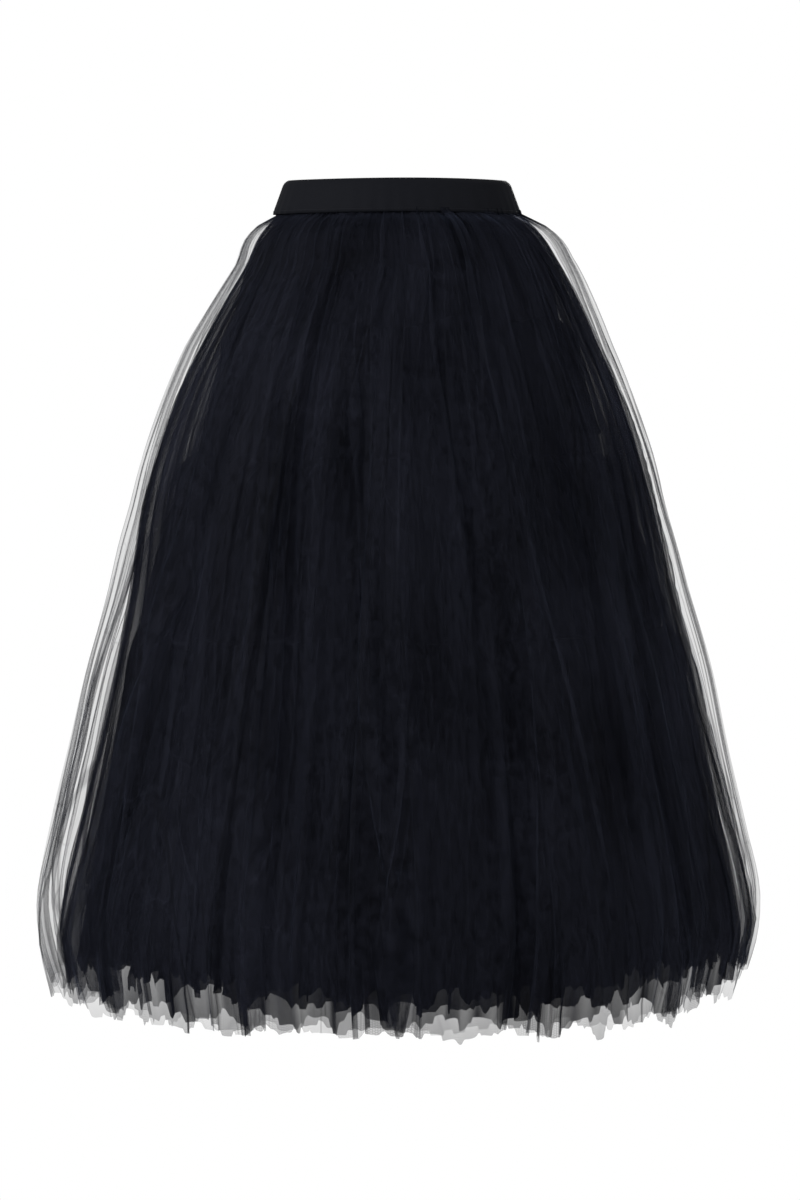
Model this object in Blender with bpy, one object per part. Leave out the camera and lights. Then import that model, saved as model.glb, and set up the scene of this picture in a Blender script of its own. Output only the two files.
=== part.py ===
"""A black tulle skirt, filled out as when it is worn, with nobody in it.

A wide elastic band holds two loose overlays of soft tulle, each a front and a back panel, and
under them a petticoat: a plain yoke and three gathered tiers of stiff net, each sewn to the
edge of the one above. Metres, +Z up, the front towards -Y. The origin is the middle of the
waist opening, level with the band's top edge.
"""

import math
import random
from collections import namedtuple

import bmesh
import bpy

# The elastic band: its outer surface at the top and bottom edges.
BAND_TOP_HALF_WIDTH = 0.1030
BAND_TOP_HALF_DEPTH = 0.0780
BAND_BOTTOM_HALF_WIDTH = 0.1150
BAND_BOTTOM_HALF_DEPTH = 0.0890
BAND_HEIGHT = 0.0300
BAND_WALL = 0.0020
BAND_EDGE_ROUNDING = 0.0006
BAND_COLUMNS = 80

# Sewn edges that meet stay this far apart.
SEAM_GAP = 0.0003
# A gathered seam isn't level: it follows this share of the free hem's unevenness.
SEAM_UNEVENNESS = 0.3

# Folds all round. Each is one ridge line and one valley line with a flat facet between.
OVERLAY_FOLDS = 64
TIER_FOLDS = 24
SPACING_JITTER = 0.22
SHALLOWEST_FOLD = 0.45
OVERLAY_HEM_JITTER = 0.006
TIER_HEM_JITTER = 0.004

# A section of a tube of cloth: how far it lies below the waist, its two half axes at the
# middle of the wall, how far its ridges and valleys stand off that line, and the wall, which
# is measured along the radius and so is thinner across a steep fold.
Section = namedtuple("Section", "drop half_width half_depth fold_depth wall")

OUTER_OVERLAY = (
    Section(0.0240, 0.1082, 0.0824, 0.0012, 0.0013),
    Section(0.0306, 0.1108, 0.0848, 0.0012, 0.0013),
    Section(0.0450, 0.1265, 0.0985, 0.0024, 0.0014),
    Section(0.0800, 0.1540, 0.1235, 0.0036, 0.0015),
    Section(0.1400, 0.1860, 0.1530, 0.0046, 0.0016),
    Section(0.2300, 0.2205, 0.1855, 0.0056, 0.0017),
    Section(0.3500, 0.2555, 0.2180, 0.0066, 0.0018),
    Section(0.4800, 0.2885, 0.2490, 0.0074, 0.0020),
    Section(0.7400, 0.3375, 0.2945, 0.0084, 0.0021),
)

UNDER_OVERLAY = (
    Section(0.0240, 0.1065, 0.0807, 0.0012, 0.0013),
    Section(0.0306, 0.1091, 0.0831, 0.0012, 0.0013),
    Section(0.0450, 0.1230, 0.0952, 0.0022, 0.0014),
    Section(0.0800, 0.1480, 0.1180, 0.0032, 0.0015),
    Section(0.1400, 0.1740, 0.1420, 0.0040, 0.0016),
    Section(0.2300, 0.2090, 0.1750, 0.0050, 0.0017),
    Section(0.3500, 0.2470, 0.2110, 0.0060, 0.0018),
    Section(0.4800, 0.2760, 0.2385, 0.0068, 0.0020),
    Section(0.7300, 0.3235, 0.2825, 0.0078, 0.0021),
)

# The petticoat, piece by piece. Neighbours share the section at their seam.
YOKE = (
    Section(0.0240, 0.1035, 0.0776, 0.0000, 0.0014),
    Section(0.0306, 0.1061, 0.0800, 0.0000, 0.0014),
    Section(0.0700, 0.1350, 0.1060, 0.0000, 0.0014),
    Section(0.1280, 0.1520, 0.1220, 0.0004, 0.0014),
)
TOP_TIER = (
    Section(0.1280, 0.1520, 0.1220, 0.0004, 0.0014),
    Section(0.1600, 0.1635, 0.1325, 0.0034, 0.0016),
    Section(0.2050, 0.1740, 0.1420, 0.0044, 0.0016),
    Section(0.2500, 0.1830, 0.1505, 0.0016, 0.0016),
)
MIDDLE_TIER = (
    Section(0.2500, 0.1830, 0.1505, 0.0016, 0.0016),
    Section(0.2900, 0.2005, 0.1660, 0.0046, 0.0016),
    Section(0.3500, 0.2215, 0.1855, 0.0054, 0.0016),
    Section(0.4100, 0.2385, 0.2010, 0.0020, 0.0016),
)
BOTTOM_TIER = (
    Section(0.4100, 0.2385, 0.2010, 0.0020, 0.0016),
    Section(0.4600, 0.2520, 0.2125, 0.0056, 0.0017),
    Section(0.5400, 0.2670, 0.2265, 0.0066, 0.0018),
    Section(0.6200, 0.2810, 0.2405, 0.0074, 0.0018),
    Section(0.7240, 0.2975, 0.2560, 0.0084, 0.0018),
)

# The largest folds run through every layer alike. Azimuth is 0 at the front and 90 at +X, and
# it drifts as the fold falls; a negative depth is a trough.
Drape = namedtuple("Drape", "azimuth_deg drift_deg_per_m width_deg depth starts_at_drop")

LARGEST_FOLDS = (
    Drape(-36, -25, 7.0, -0.0115, 0.10),
    Drape(-24, -12, 8.0, 0.0060, 0.12),
    Drape(-10, 2, 7.0, -0.0085, 0.20),
    Drape(-2, 5, 6.0, 0.0055, 0.12),
    Drape(4, 40, 7.0, -0.0095, 0.16),
    Drape(21, 10, 6.0, 0.0070, 0.12),
    Drape(36, 8, 8.0, 0.0065, 0.06),
    Drape(60, -18, 7.0, -0.0085, 0.25),
    Drape(78, 0, 9.0, 0.0050, 0.14),
    Drape(104, 6, 7.0, -0.0090, 0.12),
    Drape(127, 0, 9.0, 0.0060, 0.10),
    Drape(150, -10, 7.0, -0.0095, 0.16),
    Drape(178, 0, 9.0, 0.0060, 0.12),
    Drape(203, 12, 7.0, -0.0085, 0.10),
    Drape(226, 0, 8.0, 0.0055, 0.16),
    Drape(249, -8, 7.0, -0.0090, 0.14),
    Drape(283, 0, 9.0, 0.0055, 0.12),
)
DRAPE_RUN = 0.24

# Each cloth as a name, a colour and a roughness.
TULLE = ("black_tulle", (0.010, 0.011, 0.016), 0.55)
NET = ("black_net", (0.007, 0.008, 0.011), 0.70)
ELASTIC = ("black_elastic", (0.013, 0.014, 0.018), 0.60)
YOKE_CLOTH = ("black_yoke_cloth", (0.008, 0.009, 0.012), 0.50)


def clear_scene():
    for old in list(bpy.data.objects):
        bpy.data.objects.remove(old)


def make_material(name, colour, roughness):
    material = bpy.data.materials.new(name)
    material.use_nodes = True
    shader = material.node_tree.nodes["Principled BSDF"]
    shader.inputs["Base Color"].default_value = (*colour, 1.0)
    shader.inputs["Roughness"].default_value = roughness
    return material


def drape(azimuth, drop):
    """How far the largest folds move the cloth out at this place."""
    total = 0.0
    for fold in LARGEST_FOLDS:
        away = math.degrees(azimuth) - fold.azimuth_deg - fold.drift_deg_per_m * drop
        away = (away + 180.0) % 360.0 - 180.0
        grown = min(max((drop - fold.starts_at_drop) / DRAPE_RUN, 0.0), 1.0)
        eased = grown * grown * (3.0 - 2.0 * grown)
        total += fold.depth * eased * math.exp(-((away / fold.width_deg) ** 2))
    return total


FoldLine = namedtuple("FoldLine", "azimuth reach hem")


def fold_lines(folds, seed, hem_jitter):
    """Ridge and valley lines in turn, from the left side seam round the front and the back.

    Both side seams are lines that keep their even place, so that panels meet there.
    """
    chance = random.Random(seed)
    lines = []
    count = 2 * folds
    step = 2 * math.pi / count
    for number in range(count):
        shift = chance.uniform(-SPACING_JITTER, SPACING_JITTER) * step
        strength = chance.uniform(SHALLOWEST_FOLD, 1.0)
        hem = chance.uniform(-hem_jitter, hem_jitter)
        at_side_seam = number % folds == 0
        azimuth = -math.pi / 2 + number * step + (0.0 if at_side_seam else shift)
        sign = 1.0 if number % 2 == 0 else -1.0
        lines.append(FoldLine(azimuth, sign * strength, hem))
    return lines


def wall_section(line, sections, top_uneven, bottom_uneven):
    """One fold line's cut through the wall: outside points and inside points, top down."""
    outside = []
    inside = []
    uneven = {sections[0]: top_uneven, sections[-1]: bottom_uneven}
    for section in sections:
        drop = section.drop + line.hem * uneven.get(section, 0.0)
        out = line.reach * section.fold_depth + drape(line.azimuth, section.drop)
        for offset, points in ((section.wall / 2, outside), (-section.wall / 2, inside)):
            x = (section.half_width + out + offset) * math.sin(line.azimuth)
            y = -(section.half_depth + out + offset) * math.cos(line.azimuth)
            points.append((x, y, -drop))
    return outside, inside


def loft(name, cuts, closed, material, collection):
    """Joins the cuts through a wall, one after another, into one closed solid."""
    mesh = bmesh.new()
    loops = []
    for outside, inside in cuts:
        loops.append([mesh.verts.new(point) for point in outside + inside[::-1]])
    joins = len(loops) if closed else len(loops) - 1
    around = len(loops[0])
    for number in range(joins):
        here = loops[number]
        there = loops[(number + 1) % len(loops)]
        for corner in range(around):
            following = (corner + 1) % around
            quad = [here[corner], here[following], there[following], there[corner]]
            # The outside and the inside split along the same diagonal, so the wall keeps even.
            is_inside = corner >= around // 2
            if is_inside:
                quad = quad[1:] + quad[:1]
            mesh.faces.new((quad[0], quad[1], quad[2]))
            mesh.faces.new((quad[0], quad[2], quad[3]))
    if not closed:
        for end in (loops[0], loops[-1]):
            for corner in range(around // 2 - 1):
                opposite = around - 1 - corner
                mesh.faces.new((end[corner], end[corner + 1], end[opposite - 1], end[opposite]))
    bmesh.ops.recalc_face_normals(mesh, faces=mesh.faces)
    data = bpy.data.meshes.new(name)
    mesh.to_mesh(data)
    mesh.free()
    data.shade_smooth()
    data.materials.append(material)
    made = bpy.data.objects.new(name, data)
    collection.objects.link(made)
    return made


def overlay_panels(name, sections, lines, material, collection):
    """A tulle overlay as its two panels, with a narrow gap down each side seam."""
    for half, first, towards in (("front", 0, -1.0), ("back", OVERLAY_FOLDS, 1.0)):
        cuts = []
        for number in range(OVERLAY_FOLDS + 1):
            line = lines[(first + number) % len(lines)]
            outside, inside = wall_section(line, sections, 0.0, 1.0)
            if number in (0, OVERLAY_FOLDS):
                edge = towards * SEAM_GAP / 2
                outside = [(x, edge, z) for x, _, z in outside]
                inside = [(x, edge, z) for x, _, z in inside]
            cuts.append((outside, inside))
        loft(f"{name}_{half}", cuts, False, material, collection)


def petticoat_piece(name, sections, lines, uneven, material, collection):
    """A ring of the petticoat, which starts a seam gap below the piece that it hangs from.

    uneven is the share of the hem's unevenness that its top edge and its bottom edge follow.
    """
    lowered = sections[0]._replace(drop=sections[0].drop + SEAM_GAP)
    cuts = [wall_section(line, (lowered, *sections[1:]), *uneven) for line in lines]
    loft(name, cuts, True, material, collection)


def waistband(material, collection):
    """The elastic: an oval ring that widens towards the hips, with eased edges."""
    outer_profile = (
        # inset from the outer surface, distance below the top edge
        (BAND_EDGE_ROUNDING, 0.0),
        (0.0, BAND_EDGE_ROUNDING),
        (0.0, BAND_HEIGHT - BAND_EDGE_ROUNDING),
        (BAND_EDGE_ROUNDING, BAND_HEIGHT),
    )
    cuts = []
    for column in range(BAND_COLUMNS):
        azimuth = 2 * math.pi * column / BAND_COLUMNS
        outside = []
        inside = []
        for inset, drop in outer_profile:
            share = drop / BAND_HEIGHT
            half_width = BAND_TOP_HALF_WIDTH
            half_width += share * (BAND_BOTTOM_HALF_WIDTH - BAND_TOP_HALF_WIDTH)
            half_depth = BAND_TOP_HALF_DEPTH
            half_depth += share * (BAND_BOTTOM_HALF_DEPTH - BAND_TOP_HALF_DEPTH)
            for taken, points in ((inset, outside), (BAND_WALL - inset, inside)):
                x = (half_width - taken) * math.sin(azimuth)
                y = -(half_depth - taken) * math.cos(azimuth)
                points.append((x, y, -drop))
        cuts.append((outside, inside))
    loft("waistband", cuts, True, material, collection)


def build_skirt():
    clear_scene()
    skirt = bpy.data.collections.new("tulle_skirt")
    bpy.context.scene.collection.children.link(skirt)
    waistband(make_material(*ELASTIC), skirt)

    # Both overlays fold along the same lines, so the under one nests in the outer one.
    tulle = make_material(*TULLE)
    tulle_lines = fold_lines(OVERLAY_FOLDS, 11, OVERLAY_HEM_JITTER)
    overlay_panels("outer_overlay", OUTER_OVERLAY, tulle_lines, tulle, skirt)
    overlay_panels("under_overlay", UNDER_OVERLAY, tulle_lines, tulle, skirt)

    # Only the bottom tier ends in a free hem: the other pieces end in a seam.
    lines = fold_lines(TIER_FOLDS, 23, TIER_HEM_JITTER)
    seam = SEAM_UNEVENNESS
    yoke_cloth = make_material(*YOKE_CLOTH)
    net = make_material(*NET)
    petticoat_piece("petticoat_yoke", YOKE, lines, (0.0, seam), yoke_cloth, skirt)
    petticoat_piece("petticoat_top_tier", TOP_TIER, lines, (seam, seam), net, skirt)
    petticoat_piece("petticoat_middle_tier", MIDDLE_TIER, lines, (seam, seam), net, skirt)
    petticoat_piece("petticoat_bottom_tier", BOTTOM_TIER, lines, (seam, 1.0), net, skirt)


build_skirt()
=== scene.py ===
"""The looks of a black tulle skirt: elastic band, petticoat and overlays of gathered net.

Metres, +Z up, the front towards -Y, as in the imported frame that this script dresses.
"""

import math
from collections import namedtuple

import bpy
import numpy as np
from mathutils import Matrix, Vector


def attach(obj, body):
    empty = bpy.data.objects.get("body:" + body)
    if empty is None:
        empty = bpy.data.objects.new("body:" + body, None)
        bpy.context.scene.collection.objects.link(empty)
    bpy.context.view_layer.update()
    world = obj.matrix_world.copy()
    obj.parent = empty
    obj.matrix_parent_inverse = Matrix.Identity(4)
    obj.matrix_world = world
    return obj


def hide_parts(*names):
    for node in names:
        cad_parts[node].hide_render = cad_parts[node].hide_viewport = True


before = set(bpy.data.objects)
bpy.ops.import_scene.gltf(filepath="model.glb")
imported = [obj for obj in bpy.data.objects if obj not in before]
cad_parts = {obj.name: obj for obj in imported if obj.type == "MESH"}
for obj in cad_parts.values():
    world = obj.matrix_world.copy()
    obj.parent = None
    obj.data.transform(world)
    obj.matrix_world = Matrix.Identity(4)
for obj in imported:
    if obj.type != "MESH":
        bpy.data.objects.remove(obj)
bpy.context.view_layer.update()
BODY = "root"


# Waistband
# A wide woven elastic joined into a ring. It rolls in a little at its top edge, dips at the
# front, and is sewn on by a row of stitches just above its lower edge.
BAND_HEIGHT = 0.0312
BAND_WALL = 0.0020
BAND_EASING = 0.0006
BAND_TOP = (0.1038, 0.0786)
BAND_BOTTOM = (0.1150, 0.0890)
BAND_ROLL = (0.0050, 0.0022)
BAND_FRONT_DIP = 0.0028
BAND_UNEVEN = 0.0003
BAND_GIRTH = 0.60
BAND_COLUMNS = 480
BAND_ROWS = 15
BAND_STITCHES_DROP = 0.0284
BAND_STITCHES_STAND = 0.0001
BAND_STITCHES_POINTS = 360

# Points and UV are by row and column. At each point, pressed is how hard the cloth is creased,
# doubled at a raw hem and closed up in the troughs of the largest folds, where it also darkens
# the colour as painted shade; turns is the running count of the medium folds with their depth there.
Grid = namedtuple("Grid", "points uv closed pressed turns", defaults=(None, None))


def new_object(name, mesh, *materials):
    for material in materials:
        mesh.materials.append(material)
    made = bpy.data.objects.new(name, mesh)
    bpy.context.scene.collection.objects.link(made)
    return made


def woven_grid(name, grid, material):
    """A mesh from rows of points, the columns running round the skirt, with its own UV in metres."""
    rows, columns = grid.points.shape[:2]
    spans = columns if grid.closed else columns - 1
    row, column = np.meshgrid(np.arange(rows - 1), np.arange(spans), indexing="ij")
    after = (column + 1) % columns
    corners = [row * columns + column, row * columns + after]
    corners += [(row + 1) * columns + after, (row + 1) * columns + column]
    faces = np.stack(corners[::-1], axis=-1).reshape(-1, 4)

    mesh = bpy.data.meshes.new(name)
    mesh.vertices.add(rows * columns)
    mesh.vertices.foreach_set("co", grid.points.astype(np.float32).ravel())
    mesh.loops.add(faces.size)
    mesh.loops.foreach_set("vertex_index", faces.astype(np.int32).ravel())
    mesh.polygons.add(len(faces))
    mesh.polygons.foreach_set("loop_start", np.arange(0, faces.size, 4, dtype=np.int32))
    mesh.update(calc_edges=True)

    steps = [(0, 0), (0, 1), (1, 1), (1, 0)][::-1]
    corner_uv = [grid.uv[row + down, column + along] for down, along in steps]
    layer = mesh.uv_layers.new(name="cloth")
    layer.data.foreach_set("uv", np.stack(corner_uv, axis=-2).astype(np.float32).ravel())
    if grid.pressed is not None:
        pressed = mesh.attributes.new("pressed", "FLOAT", "POINT")
        pressed.data.foreach_set("value", grid.pressed.astype(np.float32).ravel())
        turns = mesh.attributes.new("turns", "FLOAT_VECTOR", "POINT")
        turns.data.foreach_set("vector", grid.turns.astype(np.float32).ravel())
    mesh.shade_smooth()
    return new_object(name, mesh, material)


def on_oval(azimuth, half_width, half_depth, out, along=0.0):
    """A point beside an upright oval: out along its normal, and along it towards +azimuth."""
    side = np.sin(azimuth)
    front = np.cos(azimuth)
    length = np.hypot(side / half_width, front / half_depth)
    normal_x = side / half_width / length
    normal_y = -front / half_depth / length
    x = half_width * side + out * normal_x - along * normal_y
    y = -half_depth * front + out * normal_y + along * normal_x
    return x, y


def front_dip(azimuth):
    """How much lower the waist sits at the front than at the back."""
    return BAND_FRONT_DIP * np.cos(azimuth)


def band_surface(azimuth, drop, inset):
    """Points on the elastic: inset in from its outer surface, drop below its top edge."""
    share = drop / BAND_HEIGHT
    half_width = BAND_TOP[0] + share * (BAND_BOTTOM[0] - BAND_TOP[0])
    half_depth = BAND_TOP[1] + share * (BAND_BOTTOM[1] - BAND_TOP[1])
    reach, depth = BAND_ROLL
    rolled = depth * np.clip(1.0 - drop / reach, 0.0, 1.0) ** 2
    ripple = BAND_UNEVEN * share * np.sin(41 * azimuth + 2 * np.sin(5 * azimuth))
    x, y = on_oval(azimuth, half_width, half_depth, ripple - inset - rolled)
    z = -drop - front_dip(azimuth) + BAND_UNEVEN * np.sin(3 * azimuth + 1.0)
    return np.stack(np.broadcast_arrays(x, y, z), axis=-1)


ELASTIC_DARK = (0.0085, 0.0092, 0.0122, 1.0)
ELASTIC_LIGHT = (0.0122, 0.0130, 0.0170, 1.0)
ELASTIC_YARNS_A_METRE = (180.0, 900.0, 1.0)


def elastic_material():
    material = bpy.data.materials.new("black_elastic")
    material.use_nodes = True
    nodes = material.node_tree.nodes
    link = material.node_tree.links.new
    shader = nodes["Principled BSDF"]
    shader.inputs["Roughness"].default_value = 0.7
    shader.inputs["Specular IOR Level"].default_value = 0.05
    shader.inputs["Sheen Weight"].default_value = 0.02
    shader.inputs["Sheen Roughness"].default_value = 0.5

    # The UV map is in metres: x round the band, y down it.
    place = nodes.new("ShaderNodeUVMap")
    place.uv_map = "cloth"
    stretch = nodes.new("ShaderNodeMapping")
    stretch.inputs["Scale"].default_value = ELASTIC_YARNS_A_METRE
    link(place.outputs["UV"], stretch.inputs["Vector"])
    yarns = nodes.new("ShaderNodeTexNoise")
    yarns.inputs["Scale"].default_value = 1.0
    yarns.inputs["Detail"].default_value = 3.0
    link(stretch.outputs["Vector"], yarns.inputs["Vector"])

    tint = nodes.new("ShaderNodeMix")
    tint.data_type = "RGBA"
    tint.inputs["A"].default_value = ELASTIC_DARK
    tint.inputs["B"].default_value = ELASTIC_LIGHT
    link(yarns.outputs["Fac"], tint.inputs["Factor"])
    link(tint.outputs["Result"], shader.inputs["Base Color"])
    bump = nodes.new("ShaderNodeBump")
    bump.inputs["Strength"].default_value = 0.35
    bump.inputs["Distance"].default_value = 0.0002
    link(yarns.outputs["Fac"], bump.inputs["Height"])
    link(bump.outputs["Normal"], shader.inputs["Normal"])
    return material


def make_waistband(material):
    """The band's closed section carried round the oval: down the outside and up the inside."""
    azimuth = np.linspace(-math.pi, math.pi, BAND_COLUMNS, endpoint=False)[None, :]
    down = np.linspace(0.0, BAND_HEIGHT, BAND_ROWS)
    eased = np.where((down == 0.0) | (down == BAND_HEIGHT), BAND_EASING, 0.0)
    drop = np.concatenate([down, down[::-1], down[:1]])
    inset = np.concatenate([eased, BAND_WALL - eased[::-1], eased[:1]])
    points = band_surface(azimuth, drop[:, None], inset[:, None])
    around = np.linspace(0.0, BAND_GIRTH, BAND_COLUMNS + 1)
    uv = np.stack(np.meshgrid(around, drop), axis=-1)
    return woven_grid("waistband_elastic", Grid(points, uv, True), material)


def stitch_group():
    """Geometry nodes: short threads laid end to end, with gaps, along a path of edges."""
    group = bpy.data.node_groups.new("stitches", "GeometryNodeTree")
    face = group.interface
    face.new_socket("Path", in_out="INPUT", socket_type="NodeSocketGeometry")
    for name, value in (("Pitch", 0.003), ("Length", 0.002), ("Thickness", 0.0004)):
        face.new_socket(name, in_out="INPUT", socket_type="NodeSocketFloat").default_value = value
    face.new_socket("Thread", in_out="INPUT", socket_type="NodeSocketMaterial")
    face.new_socket("Stitches", in_out="OUTPUT", socket_type="NodeSocketGeometry")
    nodes = group.nodes
    link = group.links.new
    entry = nodes.new("NodeGroupInput")
    leave = nodes.new("NodeGroupOutput")
    curve = nodes.new("GeometryNodeMeshToCurve")
    link(entry.outputs["Path"], curve.inputs["Mesh"])
    places = nodes.new("GeometryNodeCurveToPoints")
    places.mode = "LENGTH"
    link(curve.outputs["Curve"], places.inputs["Curve"])
    link(entry.outputs["Pitch"], places.inputs["Length"])
    thread = nodes.new("GeometryNodeMeshCylinder")
    thread.inputs["Vertices"].default_value = 6
    link(entry.outputs["Length"], thread.inputs["Depth"])
    link(entry.outputs["Thickness"], thread.inputs["Radius"])
    turned = nodes.new("FunctionNodeAlignRotationToVector")
    turned.axis = "Z"
    link(places.outputs["Tangent"], turned.inputs["Vector"])
    laid = nodes.new("GeometryNodeInstanceOnPoints")
    link(places.outputs["Points"], laid.inputs["Points"])
    link(thread.outputs["Mesh"], laid.inputs["Instance"])
    link(turned.outputs["Rotation"], laid.inputs["Rotation"])
    real = nodes.new("GeometryNodeRealizeInstances")
    link(laid.outputs["Instances"], real.inputs["Geometry"])
    dressed = nodes.new("GeometryNodeSetMaterial")
    link(real.outputs["Geometry"], dressed.inputs["Geometry"])
    link(entry.outputs["Thread"], dressed.inputs["Material"])
    link(dressed.outputs["Geometry"], leave.inputs["Stitches"])
    return group


STITCHES = stitch_group()


def stitch_along(name, points, pitch, length, thickness, thread):
    """A closed row of stitches along points, made by the node group and then kept as a mesh."""
    path = bpy.data.meshes.new(f"{name}_path")
    count = len(points)
    path.from_pydata(points.tolist(), [(n, (n + 1) % count) for n in range(count)], [])
    made = new_object(name, path)
    laid = made.modifiers.new("stitches", "NODES")
    laid.node_group = STITCHES
    values = {"Pitch": pitch, "Length": length, "Thickness": thickness, "Thread": thread}
    for socket in STITCHES.interface.items_tree:
        if socket.name in values:
            laid[socket.identifier] = values[socket.name]
    seen = made.evaluated_get(bpy.context.evaluated_depsgraph_get())
    kept = bpy.data.meshes.new_from_object(seen)
    made.modifiers.remove(laid)
    made.data = kept
    return made


def thread_material():
    material = bpy.data.materials.new("black_thread")
    material.use_nodes = True
    shader = material.node_tree.nodes["Principled BSDF"]
    shader.inputs["Base Color"].default_value = (0.016, 0.017, 0.022, 1.0)
    shader.inputs["Roughness"].default_value = 0.5
    shader.inputs["Specular IOR Level"].default_value = 0.2
    return material


black_thread = thread_material()
waistband = make_waistband(elastic_material())
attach(waistband, BODY)
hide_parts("waistband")

stitch_places = np.linspace(-math.pi, math.pi, BAND_STITCHES_POINTS, endpoint=False)
band_stitches = stitch_along(
    "waistband_stitches",
    band_surface(stitch_places, np.array(BAND_STITCHES_DROP), np.array(-BAND_STITCHES_STAND)),
    pitch=0.0032,
    length=0.0023,
    thickness=0.00022,
    thread=black_thread,
)
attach(band_stitches, BODY)


# Petticoat yoke
# The plain top of the petticoat, cut in opaque black cloth. It fits the hips, so it has no
# gathers and only a few soft pulls, and the first tier of net is sewn to its edge.
Oval = namedtuple("Oval", "drop half_width half_depth")
YOKE_OVALS = (
    Oval(0.0245, 0.1035, 0.0776),
    Oval(0.0310, 0.1063, 0.0802),
    Oval(0.0450, 0.1180, 0.0905),
    Oval(0.0700, 0.1350, 0.1060),
    Oval(0.1000, 0.1455, 0.1160),
    Oval(0.1280, 0.1520, 0.1220),
)
YOKE_CUT = (0.86, 0.115)
YOKE_COLUMNS = 240
YOKE_ROWS = 22
YOKE_PULLS = 0.0012
SAG_STARTS = 0.05
SAG_RUN = 0.08
SAG_AT_FRONT = 0.008
SAG_FRONT_WIDTH = 0.7
SAG_UNEVEN = 0.0035


def through(table, name, drop):
    """A smooth curve through one column of a table of sections, read at any drop."""
    stations = np.array([row.drop for row in table])
    values = np.array([getattr(row, name) for row in table])
    slopes = np.gradient(values, stations)
    place = np.clip(np.searchsorted(stations, drop) - 1, 0, len(stations) - 2)
    span = stations[place + 1] - stations[place]
    t = np.clip((drop - stations[place]) / span, 0.0, 1.0)
    start = values[place] * (1 + 2 * t) * (1 - t) ** 2 + slopes[place] * span * t * (1 - t) ** 2
    end = values[place + 1] * t * t * (3 - 2 * t) - slopes[place + 1] * span * t * t * (1 - t)
    return start + end


def chance_wave(azimuth, drop, lowest, highest, seed, turn=0.0):
    """An uneven wave round the skirt, about -1 to 1, whose phases turn slowly on the way down."""
    chance = np.random.default_rng(seed)
    total = 0.0
    terms = 7
    for _ in range(terms):
        count = chance.integers(lowest, highest + 1)
        phase = chance.uniform(0, 2 * math.pi)
        slide = turn * chance.uniform(-1, 1)
        total = total + np.sin(count * azimuth + phase + slide * drop)
    return total / math.sqrt(terms) * 1.1


def seam_sag(azimuth, drop):
    """How much lower the petticoat's seams hang here: they aren't level, and sag at the front."""
    grown = np.clip((drop - SAG_STARTS) / SAG_RUN, 0.0, 1.0)
    front = SAG_AT_FRONT * np.exp(-((azimuth / SAG_FRONT_WIDTH) ** 2))
    return grown * (front + SAG_UNEVEN * chance_wave(azimuth, drop, 2, 9, 700, 8.0))


def net_group():
    """Hexagonal net: three crossing waves leave round holes, and the threads between them."""
    group = bpy.data.node_groups.new("hexagonal_net", "ShaderNodeTree")
    face = group.interface
    face.new_socket("Vector", in_out="INPUT", socket_type="NodeSocketVector")
    pitch = face.new_socket("Pitch", in_out="INPUT", socket_type="NodeSocketFloat")
    pitch.default_value = 0.0016
    face.new_socket("Threads", in_out="OUTPUT", socket_type="NodeSocketFloat")
    nodes = group.nodes
    link = group.links.new
    entry = nodes.new("NodeGroupInput")
    leave = nodes.new("NodeGroupOutput")
    turns = nodes.new("ShaderNodeMath")
    turns.operation = "DIVIDE"
    turns.inputs[0].default_value = 2 * math.pi / math.cos(math.pi / 6)
    link(entry.outputs["Pitch"], turns.inputs[1])
    total = None
    for number in range(3):
        angle = number * math.pi / 3
        along = nodes.new("ShaderNodeVectorMath")
        along.operation = "DOT_PRODUCT"
        along.inputs[1].default_value = (math.cos(angle), math.sin(angle), 0.0)
        link(entry.outputs["Vector"], along.inputs[0])
        scaled = nodes.new("ShaderNodeMath")
        scaled.operation = "MULTIPLY"
        link(along.outputs["Value"], scaled.inputs[0])
        link(turns.outputs[0], scaled.inputs[1])
        wave = nodes.new("ShaderNodeMath")
        wave.operation = "COSINE"
        link(scaled.outputs[0], wave.inputs[0])
        if total is None:
            total = wave.outputs[0]
            continue
        added = nodes.new("ShaderNodeMath")
        added.operation = "ADD"
        link(total, added.inputs[0])
        link(wave.outputs[0], added.inputs[1])
        total = added.outputs[0]
    # The sum runs from 3 at a hole's middle to -1.5 on the threads.
    threads = nodes.new("ShaderNodeMapRange")
    threads.interpolation_type = "SMOOTHSTEP"
    threads.inputs["From Min"].default_value = 0.4
    threads.inputs["From Max"].default_value = -1.2
    link(total, threads.inputs["Value"])
    link(threads.outputs["Result"], leave.inputs["Threads"])
    return group


HEXAGONAL_NET = net_group()

# clear and dense are how much a hole and a thread of the net cover. The bunched depth is how far
# down the cloth its gathers close it up, and how far its colour is painted darker there as shade
# under the band and the tier seams. Streaks is how much the finest pleats change the cover,
# crumples how much the lines left by packing add to it, and pressed how much a crease adds.
Net = namedtuple(
    "Net",
    "name dark light clear dense sheen bunched pitch streaks crumples pressed",
    defaults=(0.0016, 0.0, 0.0, 0.0),
)
# How often each pattern comes in a metre of cloth: across it and down it.
FINE_PLEATS = (40.0, 5.5, 1.0)
WOVEN_GRAIN = (170.0, 75.0, 1.0)
CLOUDY_PATCHES = 7.0
CRUMPLE_CELLS = 13.0
# How dark the cloth is where it closes up, as a share of its dark colour. The same darkening
# is painted shade in the troughs of the largest folds and under the band and the tier seams.
CLOSED_UP_AND_SHADED = 0.25
# How wide the dark line along a fold's edge is, as a share of the fold.
FOLD_LINE_WIDTH = 0.045


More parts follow.
